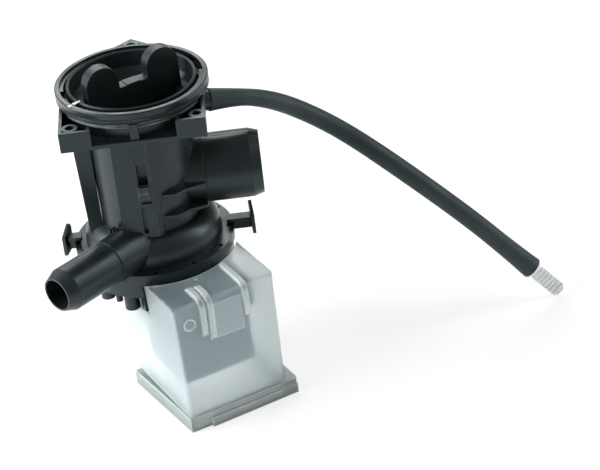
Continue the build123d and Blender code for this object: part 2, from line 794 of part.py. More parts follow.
with BuildPart() as splash_cover:
    with BuildSketch(leg_plane(cover_back)):
        add(cover_profile(0, 0))
    extrude(amount=cover_back - cover_front)
    front_face = splash_cover.faces().sort_by(Axis((0, 0, 0), leg_plane(0).z_dir))[-1]
    fillet(front_face.edges().sort_by(Axis.Z)[1:], radius=cover_rounding)
    # Foot: a flared rim with a second step along the front
    with BuildSketch(motor_level(0)):
        Polygon((-30.6, foot_back), (-27.4, -77.6), (45.0, -78.4), (44.0, foot_back), align=None)
        fillet(vertices().group_by(Axis.Y)[0], radius=2.0)
    extrude(amount=9.4)
    with BuildSketch(motor_level(0)):
        add(block(-14.0, 44.2, cover_front - 4.0, cover_front))
    extrude(amount=6.2)
    # Rails that run over the front edge, and the tab between them
    for rail_u, rail_low_z, rail_back in ((-11.4, 61.0, -59.0), (-6.4, 57.0, -60.0), (17.0, 64.0, -47.0)):
        with BuildSketch(side_plane(rail_u)):
            with BuildLine():
                Polyline(
                    (cover_front, rail_low_z),
                    (cover_front - rail_height, rail_low_z + 2.0),
                    (cover_front - rail_height, cover_top_z - 6.0),
                )
                RadiusArc(
                    (cover_front - rail_height, cover_top_z - 6.0),
                    (cover_front + 6.0, cover_top_z + rail_height),
                    8.2,
                )
                Polyline(
                    (cover_front + 6.0, cover_top_z + rail_height),
                    (rail_back - 3.0, cover_top_z + rail_height),
                    (rail_back, cover_top_z),
                    (rail_back, cover_top_z - 1.0),
                    (cover_front + 5.0, cover_top_z - 1.0),
                    (cover_front + 1.0, cover_top_z - 5.0),
                    (cover_front + 1.0, rail_low_z),
                    (cover_front, rail_low_z),
                )
            make_face()
        extrude(amount=rail_width)
    with BuildSketch(leg_plane(cover_front + 0.5)):
        add(block(-4.0, 15.4, 57.5, 80.6))
    extrude(amount=1.9)
    with BuildSketch(leg_plane(cover_front + 0.2)):
        with Locations((-18.4, 72.0)):
            Circle(3.9)
            Circle(3.4, mode=Mode.SUBTRACT)
    extrude(amount=0.55)
    # Inside, open at the back and below
    with BuildSketch(leg_plane(foot_back + 10.0)):
        add(cover_profile(cover_wall, -1.0))
    extrude(amount=foot_back + 10.0 - cover_front - cover_wall, mode=Mode.SUBTRACT)
    # Round cut that clears the motor flange
    with BuildSketch(level(cover_side_z)):
        Circle(cover_arc)
    extrude(amount=40.0, mode=Mode.SUBTRACT)
save(splash_cover.part, "splash_cover")


# Drain hose: straight runs joined by tangent arcs, bored where the spigot and the plug go in
def route_radii(route):
    radii = []
    for before, here, after in zip(route, route[1:], route[2:]):
        run_in = Vector(*here) - Vector(*before)
        run_out = Vector(*after) - Vector(*here)
        turn = radians(run_in.get_angle(run_out))
        radii.append(0.45 * min(run_in.length, run_out.length) / tan(turn / 2))
    return radii


hose_radii = route_radii(hose_route)
print("hose radii", [round(radius, 1) for radius in hose_radii])
hose_way = (Vector(*hose_route[-1]) - Vector(*hose_route[-2])).normalized()
hose_end = Vector(*hose_route[-1])
grip_side = Vector(-0.78, -0.20, -0.62)
grip_side = (grip_side - hose_way * grip_side.dot(hose_way)).normalized()


def plug_plane(distance):
    return Plane(origin=hose_end + hose_way * distance, x_dir=grip_side, z_dir=hose_way)


def grip_face(height):
    across = hose_way.cross(grip_side)
    return Plane(origin=hose_end + across * height, x_dir=hose_way, z_dir=across)


with BuildPart() as drain_hose:
    with BuildLine() as hose_line:
        FilletPolyline(*hose_route, radius=hose_radii)
    with BuildSketch(spigot_plane(0)):
        Circle(hose_radius)
    sweep(path=hose_line.wires()[0])
    hose_length = hose_line.wires()[0].length
    print("hose length", round(hose_length, 1), "volume", round(drain_hose.part.volume),
          "section times length", round(pi * hose_radius**2 * hose_length))
    with BuildSketch(spigot_plane(0)):
        Circle(spigot_radius)
    extrude(amount=spigot_grip, mode=Mode.SUBTRACT)
    with BuildSketch(plug_plane(-plug_shank - 1.0)):
        Circle(3.7)
    extrude(amount=plug_shank + 1.0, mode=Mode.SUBTRACT)
save(drain_hose.part, "drain_hose")

# Stopper of the drain hose: shank, disc, neck and ribbed flat grip
disc_thickness = 1.3
neck_length = 3.2
grip_length = 22.5
grip_half = 4.7
rib_count = 7
with BuildPart() as drain_plug:
    with BuildSketch(plug_plane(-plug_shank)):
        Circle(3.3)
    extrude(amount=plug_shank)
    for ring in range(3):
        with BuildSketch(plug_plane(-plug_shank + 1.0 + 3.6 * ring)):
            Circle(3.62)
        extrude(amount=1.0)
    with BuildSketch(plug_plane(0)):
        Circle(6.1)
    extrude(amount=disc_thickness)
    with BuildSketch(plug_plane(disc_thickness)):
        Rectangle(6.4, 3.0)
    extrude(amount=neck_length)
    with BuildSketch(grip_face(-1.3)):
        start = disc_thickness + neck_length
        end = start + grip_length
        Polygon(
            (start, grip_half - 1.0),
            (start + 1.0, grip_half),
            (end - 2.6, grip_half),
            (end, grip_half - 2.6),
            (end, 2.6 - grip_half),
            (end - 2.6, -grip_half),
            (start + 1.0, -grip_half),
            (start, 1.0 - grip_half),
            align=None,
        )
    extrude(amount=2.6)
    for rib in range(rib_count):
        with BuildSketch(plug_plane(disc_thickness + neck_length + 1.4 + rib * 2.9)):
            Rectangle(2 * grip_half - 1.2, 4.0)
            fillet(vertices(), radius=0.6)
        extrude(amount=1.3)
save(drain_plug.part, "drain_plug")
print("plug lowest point", round(drain_plug.part.bounding_box().min.Z, 2))
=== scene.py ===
import bmesh
import bpy
import json
from math import cos, pi, radians, sin
from mathutils import Matrix, Vector


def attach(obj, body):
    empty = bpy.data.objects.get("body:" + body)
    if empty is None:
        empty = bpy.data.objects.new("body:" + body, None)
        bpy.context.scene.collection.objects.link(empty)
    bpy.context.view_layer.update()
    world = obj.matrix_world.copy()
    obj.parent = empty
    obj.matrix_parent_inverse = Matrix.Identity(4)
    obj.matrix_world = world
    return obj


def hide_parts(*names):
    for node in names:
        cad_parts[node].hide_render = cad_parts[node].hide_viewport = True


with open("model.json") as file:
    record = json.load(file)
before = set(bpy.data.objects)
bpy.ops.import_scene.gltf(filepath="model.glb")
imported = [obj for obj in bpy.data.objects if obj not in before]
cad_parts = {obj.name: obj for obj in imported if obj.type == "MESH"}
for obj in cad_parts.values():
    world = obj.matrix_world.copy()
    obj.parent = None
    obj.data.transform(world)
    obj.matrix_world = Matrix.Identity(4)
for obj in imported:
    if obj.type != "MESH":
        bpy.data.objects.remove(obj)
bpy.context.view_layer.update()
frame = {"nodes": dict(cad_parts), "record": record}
nodes = frame["nodes"]
print("frame loaded:", len(nodes), "nodes")

motorTurn = radians(26.0)  # the motor's and the cover's turn against the inlet
floorDrop = 0.190  # from the foot of the collar, where the origin is, down to the floor


def millimetres(x, y, height):
    return Vector((x / 1000, y / 1000, height / 1000 - floorDrop))  # height is above the floor


class Wire:  # one node socket, so that shader and geometry sums read as plain Python
    def __init__(self, tree, socket):
        self.tree = tree
        self.socket = socket

    def sum(self, operation, left, right):
        return addNode(self.tree, "ShaderNodeMath", {"operation": operation}, {0: left, 1: right})

    def __add__(self, other):
        return self.sum("ADD", self, other)

    def __radd__(self, other):
        return self.sum("ADD", other, self)

    def __sub__(self, other):
        return self.sum("SUBTRACT", self, other)

    def __rsub__(self, other):
        return self.sum("SUBTRACT", other, self)

    def __mul__(self, other):
        return self.sum("MULTIPLY", self, other)

    def __rmul__(self, other):
        return self.sum("MULTIPLY", other, self)

    def __truediv__(self, other):
        return self.sum("DIVIDE", self, other)

    def __pow__(self, other):
        return self.sum("POWER", self, other)

    def out(self, name):
        return Wire(self.tree, self.socket.node.outputs[name])


def addNode(tree, kind, settings=None, inputs=None, out=0):
    node = tree.nodes.new(kind)
    for name, value in (settings or {}).items():
        setattr(node, name, value)
    for name, value in (inputs or {}).items():
        socket = node.inputs[name]
        if isinstance(value, Wire):
            tree.links.new(value.socket, socket)
        elif socket.type == "RGBA" and len(value) == 3:
            socket.default_value = (*value, 1)
        else:
            socket.default_value = value
    return Wire(tree, node.outputs[out]) if node.outputs else node


def newMaterial(name):
    material = bpy.data.materials.new(name)
    material.use_nodes = True
    tree = material.node_tree
    tree.nodes.clear()
    return material, tree


def finishMaterial(tree, shader):
    addNode(tree, "ShaderNodeOutputMaterial", {}, {"Surface": shader})


def noise(tree, place, scale, detail=3.0, roughness=0.55, distortion=0.0):
    return addNode(tree, "ShaderNodeTexNoise", {}, {
        "Vector": place, "Scale": scale, "Detail": detail, "Roughness": roughness, "Distortion": distortion,
    })


def ramp(tree, value, low, high):
    inputs = {"Value": value, "From Min": low, "From Max": high}
    return addNode(tree, "ShaderNodeMapRange", {"clamp": True}, inputs)


def between(tree, value, low, high, soft):  # 1 from low to high, with soft ends outside them
    return ramp(tree, value, low - soft, low) * ramp(tree, value, high + soft, high)


def mixColour(tree, factor, first, second):  # by number, because several sockets of this node share a name
    node = tree.nodes.new("ShaderNodeMix")
    node.data_type = "RGBA"
    for socket, value in ((node.inputs[0], factor), (node.inputs[6], first), (node.inputs[7], second)):
        if isinstance(value, Wire):
            tree.links.new(value.socket, socket)
        elif socket.type == "RGBA":
            socket.default_value = (*value, 1)
        else:
            socket.default_value = value
    return Wire(tree, node.outputs[2])


def stretched(tree, place, scale):
    return addNode(tree, "ShaderNodeMapping", {}, {"Vector": place, "Scale": scale})


def bumped(tree, height, strength, distance, normal):
    inputs = {"Height": height, "Strength": strength, "Distance": distance, "Normal": normal}
    return addNode(tree, "ShaderNodeBump", {}, inputs)


def measured(tree, operation, first, second):  # one number from two vectors
    return addNode(tree, "ShaderNodeVectorMath", {"operation": operation}, {0: first, 1: second}, "Value")


def roundedNormal(tree, radius):
    return addNode(tree, "ShaderNodeBevel", {"samples": 4}, {"Radius": radius})


def edgeMask(tree, radius):
    rounded = roundedNormal(tree, radius)
    plain = addNode(tree, "ShaderNodeNewGeometry").out("Normal")
    return rounded, ramp(tree, measured(tree, "DOT_PRODUCT", rounded, plain), 0.985, 0.80)


# How fine each pattern is: repeats per metre, for each axis where the pattern is stretched
fineness = {
    "cloud": 38.0, "flow": (60.0, 60.0, 9.0), "specks": 900.0, "scratches": (90.0, 90.0, 1400.0),
    "milkCloud": 22.0, "milkFlow": (70.0, 70.0, 14.0), "milkGrain": 1500.0, "stain": 60.0,
}
# Depths of grain and lines and the edge of metal in metres, and how strongly each plastic bends light
surface = {
    "grainDepth": 0.0002, "lineDepth": 0.0003, "metalEdge": 0.0002, "solidIndex": 1.49, "milkyIndex": 1.4,
}
# Places of the marks of use and of two painted highlight rings, in metres: reaches from the axis, and heights
# from the foot of the collar;
# the grooves' rate is in radians per metre, which sets them 1 mm apart
marksAndHighlightPlaces = {
    "neckReach": 0.0433, "neckBand": (-0.0046, -0.0012), "lowRingHighlight": (-0.0028, -0.0018),
    "highRingHighlight": (0.0014, 0.0020), "catchFront": -0.0350, "catchBand": (-0.0550, -0.0458),
    "wallReach": 0.0443, "grooveBand": (0.0004, 0.0027), "grooveRate": 6283.0, "grooveDepth": 0.0003,
}


# Marks of use and painted highlights: scuffed neck, two rings below the collar painted pale as a painted
# highlight, rubbed catch, and grooves round the collar's wall
def marksOfUseAndHighlights(tree, place, cloud, edges, look):
    parts = addNode(tree, "ShaderNodeSeparateXYZ", {}, {"Vector": place})
    height = parts.out("Z")
    reach = (parts.out("X") * parts.out("X") + parts.out("Y") * parts.out("Y")) ** 0.5
    onNeck = ramp(tree, reach, marksAndHighlightPlaces["neckReach"] + 0.0003, marksAndHighlightPlaces["neckReach"])
    offNeck = ramp(tree, reach, marksAndHighlightPlaces["neckReach"] + 0.0003, marksAndHighlightPlaces["neckReach"] + 0.0007)
    onWall = ramp(tree, reach, marksAndHighlightPlaces["wallReach"] - 0.0003, marksAndHighlightPlaces["wallReach"])
    scratches = ramp(tree, noise(tree, stretched(tree, place, fineness["scratches"]), 1.0, 4.0), 0.55, 0.66)
    low, high = marksAndHighlightPlaces["neckBand"]
    band = ramp(tree, height, low - 0.0006, low) * ramp(tree, height, 0.0, high) * onNeck
    scuffsAndRingHighlights = band * scratches * ramp(tree, cloud, 0.36, 0.56)
    # Painted highlight: two thin pale ring lines where the edges of the collar's steps catch light
    low, high = marksAndHighlightPlaces["lowRingHighlight"]
    lowRingHighlight = between(tree, height, low, high, 0.0006) * onNeck
    low, high = marksAndHighlightPlaces["highRingHighlight"]
    highRingHighlight = between(tree, height, low, high, 0.0004) * offNeck
    scuffsAndRingHighlights = scuffsAndRingHighlights + (lowRingHighlight * 0.55 + highRingHighlight * 0.22) * (0.35 + ramp(tree, cloud, 0.40, 0.60) * 0.65)
    low, high = marksAndHighlightPlaces["catchBand"]
    front = marksAndHighlightPlaces["catchFront"]
    catch = ramp(tree, parts.out("Y"), front + 0.0004, front)
    catch = catch * ramp(tree, height, low - 0.0012, low) * ramp(tree, height, high + 0.0010, high)
    scuffsAndRingHighlights = scuffsAndRingHighlights + catch * (edges + scratches * 0.3) * ramp(tree, cloud, 0.30, 0.50)
    low, high = marksAndHighlightPlaces["grooveBand"]
    wave = addNode(tree, "ShaderNodeMath", {"operation": "SINE"}, {0: height * marksAndHighlightPlaces["grooveRate"]})
    grooves = wave * (between(tree, height, low, high, 0.0003) * onWall) * look["grooves"]
    return ramp(tree, scuffsAndRingHighlights * look["scuffsAndRingHighlights"], 0.0, 1.0), grooves


# Moulded plastic: fine grain in the gloss, cloudy handling marks, soft pale edges (worn, and on the cap
# partly a painted highlight), pale marks of use with two painted highlight rings, and a little dust
def mouldedPlastic(name, look):
    material, tree = newMaterial(name)
    place = addNode(tree, "ShaderNodeTexCoord").out("Object")
    facing = addNode(tree, "ShaderNodeTexCoord").out("Normal")
    upward = addNode(tree, "ShaderNodeSeparateXYZ", {}, {"Vector": facing}).out("Z")
    grain = noise(tree, place, look["grainScale"], 2.0)
    cloud = noise(tree, place, fineness["cloud"], 4.0, 0.6, 0.4)
    flow = noise(tree, stretched(tree, place, fineness["flow"]), 1.0, 3.0)
    specks = ramp(tree, noise(tree, place, fineness["specks"], 1.0), 0.70, 0.78)
    rounded, edges = edgeMask(tree, look["edgeRadius"])
    dust = ramp(tree, upward, 0.35, 1.0) * ramp(tree, cloud, 0.42, 0.75)
    edgeWearAndHighlight = edges * ramp(tree, cloud, 0.30, 0.70)
    scuffsAndRingHighlights, grooves = marksOfUseAndHighlights(tree, place, cloud, edges, look)
    tone = mixColour(tree, ramp(tree, flow, 0.35, 0.70) * 0.55, look["colour"], look["cloudColour"])
    tone = mixColour(tree, dust * look["dust"] + specks * look["specks"], tone, look["dustColour"])
    # Pale edges: wear, and on the cap also a painted highlight along its rim
    tone = mixColour(tree, edgeWearAndHighlight * look["edgeWearAndHighlight"], tone, look["edgeColour"])
    # One pale colour for the scuffs and for the painted highlight rings
    tone = mixColour(tree, scuffsAndRingHighlights, tone, look["scuffAndHighlightColour"])
    rough = look["roughness"] + ramp(tree, cloud, 0.3, 0.7) * look["roughSpread"] + dust * 0.18
    ridged = bumped(tree, grooves, 1.0, marksAndHighlightPlaces["grooveDepth"], rounded)
    bump = bumped(tree, grain, look["bump"], surface["grainDepth"], ridged)
    shader = addNode(tree, "ShaderNodeBsdfPrincipled", {}, {
        "Base Color": tone, "Roughness": rough, "Normal": bump, "IOR": surface["solidIndex"],
        "Specular IOR Level": look["gloss"], "Specular Tint": look["glint"],
    })
    finishMaterial(tree, shader)
    return material


blackLook = {
    "colour": (0.0048, 0.0078, 0.0088), "cloudColour": (0.0085, 0.0128, 0.0140),
    "dustColour": (0.052, 0.061, 0.064), "edgeColour": (0.080, 0.092, 0.096), "scuffAndHighlightColour": (0.26, 0.29, 0.29),
    "glint": (0.80, 0.97, 1.0), "roughness": 0.30, "roughSpread": 0.10, "gloss": 0.50, "grainScale": 2600.0,
    "bump": 0.06, "edgeRadius": 0.00045, "dust": 0.10, "specks": 0.06, "edgeWearAndHighlight": 0.50, "scuffsAndRingHighlights": 1.0,
    "grooves": 1.0,
}
# The cap's strong pale edges paint a highlight along its rim, on top of wear
capLook = {
    **blackLook, "roughness": 0.38, "gloss": 0.42, "dust": 0.06, "edgeWearAndHighlight": 0.85, "scuffsAndRingHighlights": 0.0, "grooves": 0.0,
}
coilLook = {
    **blackLook, "colour": (0.016, 0.058, 0.092), "cloudColour": (0.024, 0.074, 0.112), "roughness": 0.45,
    "dust": 0.05, "edgeWearAndHighlight": 0.20, "scuffsAndRingHighlights": 0.0, "grooves": 0.0,
}
paleLook = {
    "colour": (0.62, 0.61, 0.56), "cloudColour": (0.70, 0.69, 0.65), "dustColour": (0.45, 0.43, 0.38),
    "edgeColour": (0.78, 0.77, 0.74), "scuffAndHighlightColour": (0.78, 0.77, 0.74), "glint": (1.0, 1.0, 1.0),
    "roughness": 0.42, "roughSpread": 0.10, "gloss": 0.5, "grainScale": 2200.0, "bump": 0.10,
    "edgeRadius": 0.0003, "dust": 0.2, "specks": 0.05, "edgeWearAndHighlight": 0.3, "scuffsAndRingHighlights": 0.0, "grooves": 0.0,
}
rubberLook = {
    **blackLook, "colour": (0.0105, 0.0178, 0.0200), "cloudColour": (0.016, 0.025, 0.028), "roughness": 0.52,
    "gloss": 0.55, "bump": 0.12, "dust": 0.12, "edgeWearAndHighlight": 0.2, "scuffsAndRingHighlights": 0.0, "grooves": 0.0,
}


# Heights and depths, in metres, past which the cover's foot, rails and moulded circle lie
coverPlaces = {"footTop": 0.0093, "roof": 0.0853, "front": -0.0772, "circleEdge": (0.0034, 0.0039)}


# Translucent plastic: clear and milky mixed, milkier in clouds, at edges, in thick rails and in the foot;
# whiter in the thick rails, and painted whiter at edges and on the moulded circle as a painted highlight
def translucentPlastic(name, look):
    material, tree = newMaterial(name)
    place = addNode(tree, "ShaderNodeTexCoord").out("Object")
    facing = addNode(tree, "ShaderNodeTexCoord").out("Normal")
    upward = addNode(tree, "ShaderNodeSeparateXYZ", {}, {"Vector": facing}).out("Z")
    parts = addNode(tree, "ShaderNodeSeparateXYZ", {}, {"Vector": place})
    height = parts.out("Z") + floorDrop
    depth = parts.out("Y") * cos(motorTurn) - parts.out("X") * sin(motorTurn)
    cloud = noise(tree, place, fineness["milkCloud"], 3.0, 0.5, 0.3)
    flow = noise(tree, stretched(tree, place, fineness["milkFlow"]), 1.0, 3.0)
    grain = noise(tree, place, fineness["milkGrain"], 2.0)
    rounded, edges = edgeMask(tree, look["edgeRadius"])
    foot = ramp(tree, height, coverPlaces["footTop"] + 0.0008, coverPlaces["footTop"])
    overRoof = ramp(tree, height, coverPlaces["roof"], coverPlaces["roof"] + 0.0007)
    overFront = ramp(tree, depth, coverPlaces["front"], coverPlaces["front"] - 0.0005)
    rails = overRoof + overFront * (1 - foot)
    thin = mixColour(tree, ramp(tree, flow, 0.35, 0.70), look["colour"], look["cloudColour"])
    inner, outer = coverPlaces["circleEdge"]
    circle = between(tree, measured(tree, "DISTANCE", place, look["circle"]), inner, outer, 0.0003)
    tone = mixColour(tree, foot, thin, look["footColour"])
    # Whiter tone in the thick rails, and a painted highlight on the edges and the moulded circle
    tone = mixColour(tree, ramp(tree, rails + edges + circle, 0.0, 1.0), tone, look["thickAndHighlightColour"])
    veil = look["veil"] + circle * look["edgeVeil"] + ramp(tree, cloud, 0.35, 0.70) * look["veilSpread"]
    veil = veil + edges * look["edgeVeil"] + rails * look["railVeil"] + foot * look["footVeil"]
    veil = veil - ramp(tree, upward, 0.3, 1.0) * look["roofClear"]
    rough = look["roughness"] + ramp(tree, cloud, 0.3, 0.7) * 0.10
    bump = bumped(tree, grain, look["bump"], surface["grainDepth"], rounded)
    clear = addNode(tree, "ShaderNodeBsdfPrincipled", {}, {
        "Base Color": look["clearColour"], "Roughness": rough, "Normal": bump, "IOR": surface["milkyIndex"],
        "Transmission Weight": 1.0,
    })
    milky = addNode(tree, "ShaderNodeBsdfPrincipled", {}, {
        "Base Color": tone, "Roughness": rough, "Normal": bump, "IOR": surface["milkyIndex"],
    })
    share = addNode(tree, "ShaderNodeClamp", {}, {"Value": veil})
    finishMaterial(tree, addNode(tree, "ShaderNodeMixShader", {}, {0: share, 1: clear, 2: milky}))
    return material


coverLook = {
    "colour": (0.58, 0.75, 0.80), "cloudColour": (0.66, 0.80, 0.83), "thickAndHighlightColour": (0.88, 0.96, 0.94),
    "footColour": (0.38, 0.44, 0.435), "clearColour": (0.998, 0.992, 0.970), "roughness": 0.34, "veil": 0.21,
    "veilSpread": 0.07, "edgeVeil": 0.50, "railVeil": 0.30, "footVeil": 0.30, "roofClear": 0.10,
    "edgeRadius": 0.0013, "bump": 0.08, "circle": millimetres(16.86, -76.53, 72.0),
}
stopperLook = {
    "colour": (0.76, 0.80, 0.79), "cloudColour": (0.82, 0.85, 0.84), "thickAndHighlightColour": (0.84, 0.87, 0.86),
    "footColour": (0.76, 0.80, 0.79), "clearColour": (0.97, 0.98, 0.97), "roughness": 0.40, "veil": 0.82,
    "veilSpread": 0.10, "edgeVeil": 0.10, "railVeil": 0.0, "footVeil": 0.0, "roofClear": 0.0,
    "edgeRadius": 0.0003, "bump": 0.08, "circle": (0.0, 0.0, 0.0),
}


# Bare and plated metal: brushed or stacked lines along one direction
def linedMetal(name, look):
    material, tree = newMaterial(name)
    place = addNode(tree, "ShaderNodeTexCoord").out("Object")
    lines = noise(tree, stretched(tree, place, look["lines"]), 1.0, 3.0)
    cloud = noise(tree, place, fineness["stain"], 3.0)
    tone = mixColour(tree, ramp(tree, lines, 0.35, 0.65), look["colour"], look["lineColour"])
    tone = mixColour(tree, ramp(tree, cloud, 0.5, 0.8) * look["stain"], tone, look["stainColour"])
    bump = bumped(tree, lines, look["bump"], surface["lineDepth"], roundedNormal(tree, surface["metalEdge"]))
    shader = addNode(tree, "ShaderNodeBsdfPrincipled", {}, {
        "Base Color": tone, "Metallic": look["metallic"], "Normal": bump,
        "Roughness": look["roughness"] + ramp(tree, lines, 0.3, 0.7) * 0.15,
    })
    finishMaterial(tree, shader)
    return material


steelLook = {
    "colour": (0.52, 0.52, 0.53), "lineColour": (0.66, 0.66, 0.66), "stainColour": (0.35, 0.33, 0.31),
    "lines": (200.0, 200.0, 3000.0), "stain": 0.3, "metallic": 1.0, "roughness": 0.25, "bump": 0.3,
}
sheetLook = {
    "colour": (0.20, 0.20, 0.21), "lineColour": (0.42, 0.42, 0.43), "stainColour": (0.30, 0.17, 0.10),
    "lines": (12.0, 12.0, 1600.0), "stain": 0.5, "metallic": 0.85, "roughness": 0.40, "bump": 0.3,
}
copperLook = {
    "colour": (0.36, 0.13, 0.05), "lineColour": (0.62, 0.27, 0.12), "stainColour": (0.25, 0.09, 0.04),
    "lines": (12.0, 1800.0, 12.0), "stain": 0.4, "metallic": 0.9, "roughness": 0.35, "bump": 0.3,
}
bladeLook = {
    **steelLook, "colour": (0.62, 0.60, 0.54), "lineColour": (0.74, 0.72, 0.66),
    "lines": (300.0, 300.0, 300.0),
}
bronzeLook = {**steelLook, "colour": (0.36, 0.22, 0.10), "lineColour": (0.48, 0.31, 0.15)}
magnetLook = {
    **sheetLook, "colour": (0.05, 0.05, 0.052), "lineColour": (0.07, 0.07, 0.072), "metallic": 0.3,
}

materials = {
    "black_plastic": mouldedPlastic("moulded black plastic", blackLook),
    "coil_plastic": mouldedPlastic("blue-black coil plastic", coilLook),
    "white_plastic": mouldedPlastic("off-white plastic", paleLook),
    "black_rubber": mouldedPlastic("seal rubber", rubberLook),
    "hose_rubber": mouldedPlastic("hose rubber", rubberLook),
    "cover_plastic": translucentPlastic("milky cover plastic", coverLook),
    "clear_plastic": translucentPlastic("stopper plastic", stopperLook),
    "steel": linedMetal("ground steel", steelLook),
    "laminations": linedMetal("stacked sheets", sheetLook),
    "copper": linedMetal("copper wire", copperLook),
    "tinned_brass": linedMetal("tinned blades", bladeLook),
    "bronze": linedMetal("sintered bronze", bronzeLook),
    "magnet": linedMetal("magnet", magnetLook),
}
capMaterial = mouldedPlastic("filter cap plastic", capLook)

for subpart in frame["record"]["subparts"]:
    for place in nodes[subpart["node"]].material_slots:
        place.material = materials[subpart["material_slot"]]
for place in nodes["filter_cap"].material_slots:
    place.material = capMaterial
print("materials set")


# Drain hose: one curve along the route, swollen over its spigot and over the stopper's shank; in metres
hose = {
    "radius": 0.0058, "length": 0.2490, "stepsAlong": 24, "stepsRound": 10,
    "route": [  # place in mm, and how much the hose swells there
        (42.5, 7.5, 172.6, 1.20), (59.4, 12.7, 169.9, 0.86), (76.2, 20.3, 162.3, 0.93),
        (93.7, 32.9, 147.3, 0.98), (118.4, 36.5, 127.8, 1.0), (147.1, 26.5, 106.0, 1.04),
        (190.1, 16.7, 67.4, 1.02), (217.5, 17.55, 35.8, 1.04), (228.6, 17.9, 23.0, 1.20),
    ],
}


def makeHose():
    curve = bpy.data.curves.new("drainHose", "CURVE")
    curve.dimensions = "3D"
    spline = curve.splines.new("NURBS")
    spline.points.add(len(hose["route"]) - 1)
    for point, (x, y, height, swell) in zip(spline.points, hose["route"]):
        point.co = (*millimetres(x, y, height), 1)
        point.radius = swell
    spline.order_u = 3
    spline.use_endpoint_u = True
    spline.resolution_u = hose["stepsAlong"]
    curve.bevel_depth = hose["radius"]
    curve.bevel_resolution = hose["stepsRound"]
    curve.use_fill_caps = True
    curve.materials.append(materials["hose_rubber"])
    piece = bpy.data.objects.new("drainHose", curve)
    bpy.context.scene.collection.objects.link(piece)
    return piece


hosePiece = makeHose()
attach(hosePiece, "pump")
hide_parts("drain_hose")
tuple(millimetres(42.5, 7.5, 172.6))
print("hose made")


# Geometry trees: each grows one repeated detail from named sizes
def newGrowth(name, sizes):
    tree = bpy.data.node_groups.new(name, "GeometryNodeTree")
    tree.interface.new_socket("Geometry", in_out="OUTPUT", socket_type="NodeSocketGeometry")
    for label, kind in sizes.items():
        tree.interface.new_socket(label, in_out="INPUT", socket_type="NodeSocket" + kind)
    return tree, addNode(tree, "NodeGroupInput")


def finishGrowth(tree, shape, material):
    real = addNode(tree, "GeometryNodeRealizeInstances", {}, {"Geometry": shape})
    painted = addNode(tree, "GeometryNodeSetMaterial", {}, {"Geometry": real, "Material": material})
    addNode(tree, "NodeGroupOutput", {}, {"Geometry": painted})


def growPiece(name, tree, sizes, body):
    piece = bpy.data.objects.new(name, bpy.data.meshes.new(name + "Seed"))
    bpy.context.scene.collection.objects.link(piece)
    growth = piece.modifiers.new("growth", "NODES")
    growth.node_group = tree
    for item in tree.interface.items_tree:
        if item.in_out == "INPUT":
            growth[item.identifier] = sizes[item.name]
    grown = bpy.data.meshes.new_from_object(piece.evaluated_get(bpy.context.evaluated_depsgraph_get()))
    piece.modifiers.remove(growth)
    piece.data = grown
    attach(piece, body)


def turnAbout(tree, angle):
    return addNode(tree, "ShaderNodeCombineXYZ", {}, {"Z": angle})


def unitShape(tree, kind):  # one block or disc of size 1, which each tree scales
    if kind == "block":
        return addNode(tree, "GeometryNodeMeshCube", {}, {"Size": (1.0, 1.0, 1.0)})
    return addNode(tree, "GeometryNodeMeshCylinder", {}, {"Vertices": 20, "Radius": 0.5, "Depth": 1.0})


def roundSection(tree, sides, radius):
    return addNode(tree, "GeometryNodeCurvePrimitiveCircle", {}, {"Resolution": sides, "Radius": radius})


def ringTree(name, kind, material):  # blocks or discs set round a circle, each facing outwards
    tree, size = newGrowth(name, {
        "Count": "Int", "Radius": "Float", "Start": "Float", "Centre": "Vector", "Size": "Vector",
    })
    count = size.out("Count")
    ring = addNode(tree, "GeometryNodeMeshCircle", {}, {"Vertices": count, "Radius": size.out("Radius")})
    ring = addNode(tree, "GeometryNodeTransform", {}, {
        "Geometry": ring, "Rotation": turnAbout(tree, size.out("Start")), "Translation": size.out("Centre"),
    })
    step = addNode(tree, "GeometryNodeInputIndex") * (2 * pi) / count + size.out("Start")
    laid = addNode(tree, "GeometryNodeInstanceOnPoints", {}, {
        "Points": ring, "Instance": unitShape(tree, kind), "Rotation": turnAbout(tree, step),
        "Scale": size.out("Size"),
    })
    finishGrowth(tree, laid, material)
    return tree


def rowTree(name, kind, material):  # blocks or discs set in a row
    tree, size = newGrowth(name, {
        "Count": "Int", "First": "Vector", "Step": "Vector", "Turn": "Float", "Size": "Vector",
    })
    row = addNode(tree, "GeometryNodeMeshLine", {}, {
        "Count": size.out("Count"), "Start Location": size.out("First"), "Offset": size.out("Step"),
    })
    laid = addNode(tree, "GeometryNodeInstanceOnPoints", {}, {
        "Points": row, "Instance": unitShape(tree, kind), "Rotation": turnAbout(tree, size.out("Turn")),
        "Scale": size.out("Size"),
    })
    finishGrowth(tree, laid, material)
    return tree


def turnsTree(name, material):  # turns of wire laid side by side along a bobbin
    tree, size = newGrowth(name, {
        "Turns": "Int", "Width": "Float", "Height": "Float", "Corner": "Float", "Wire": "Float",
        "First": "Vector", "Step": "Vector", "Facing": "Vector",
    })
    row = addNode(tree, "GeometryNodeMeshLine", {}, {
        "Count": size.out("Turns"), "Start Location": size.out("First"), "Offset": size.out("Step"),
    })
    loop = addNode(tree, "GeometryNodeCurvePrimitiveQuadrilateral", {}, {
        "Width": size.out("Width"), "Height": size.out("Height"),
    })
    corner = addNode(tree, "GeometryNodeFilletCurve", {}, {"Curve": loop, "Radius": size.out("Corner")})
    section = roundSection(tree, 6, size.out("Wire"))
    wire = addNode(tree, "GeometryNodeCurveToMesh", {}, {"Curve": corner, "Profile Curve": section})
    laid = addNode(tree, "GeometryNodeInstanceOnPoints", {}, {
        "Points": row, "Instance": wire, "Rotation": size.out("Facing"),
    })
    finishGrowth(tree, laid, material)
    return tree


